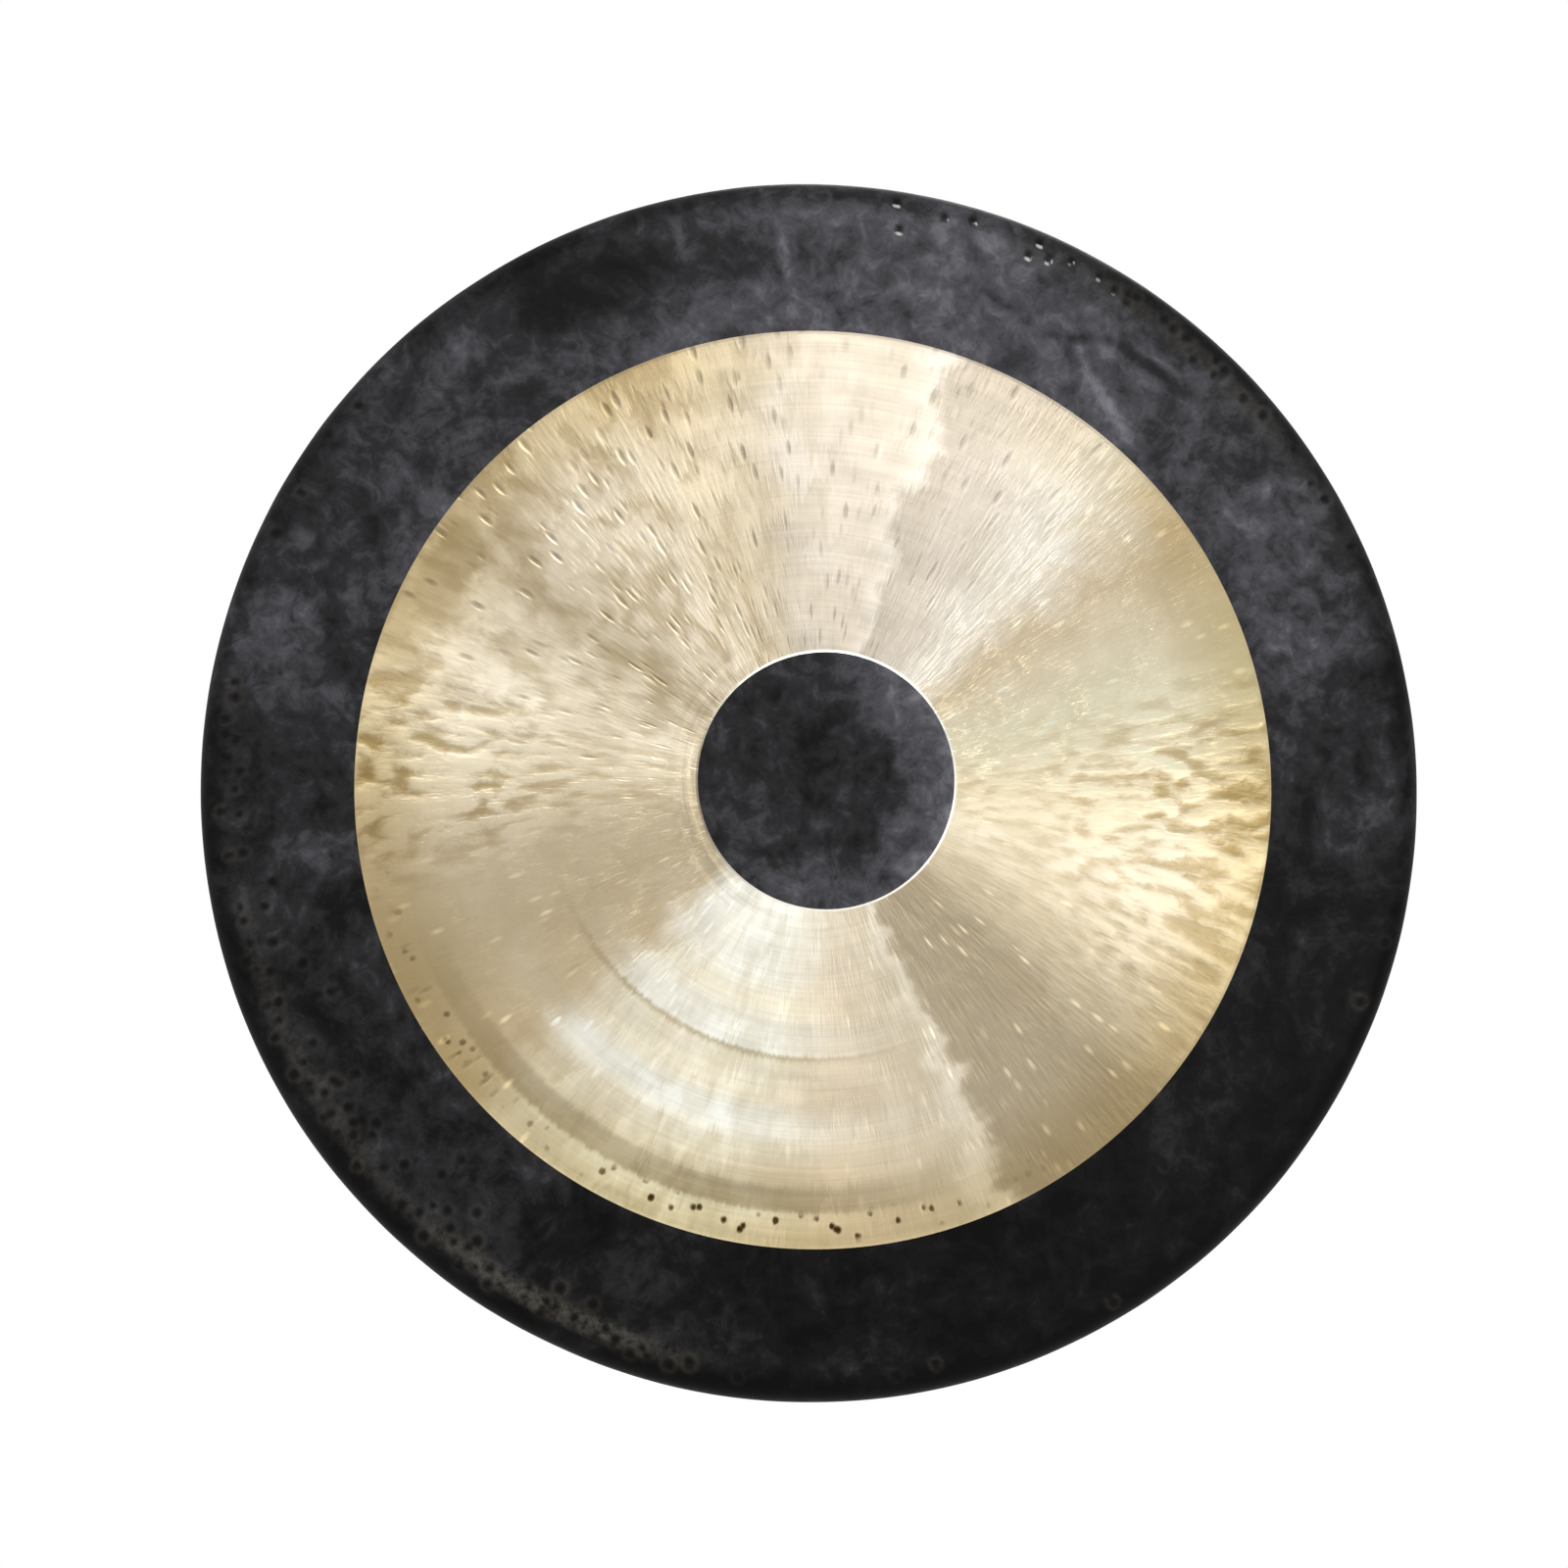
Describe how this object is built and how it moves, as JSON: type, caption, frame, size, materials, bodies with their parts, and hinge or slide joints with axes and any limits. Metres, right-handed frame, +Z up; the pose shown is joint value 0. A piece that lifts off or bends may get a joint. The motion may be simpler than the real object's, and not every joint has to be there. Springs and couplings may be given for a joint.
{
  "type": "tam tam gong",
  "caption": "Round, slightly domed hammered bronze gong with its rim turned back into a shallow flange with cord holes, and a bright turned ring between a dark outer band and centre.",
  "frame": {"origin": "midway between the centres of the two hanging holes, half way through the flange", "axes": "+Z up as the gong hangs, +Y along the gong's axis from its face to its open back, +X to the right as seen from in front"},
  "size_m": [0.8, 0.062, 0.8],
  "materials": {
    "gong_bronze": "satin"
  },
  "bodies": {
    "root": {"gong_disc": "gong_bronze"}
  },
  "joints": []
}
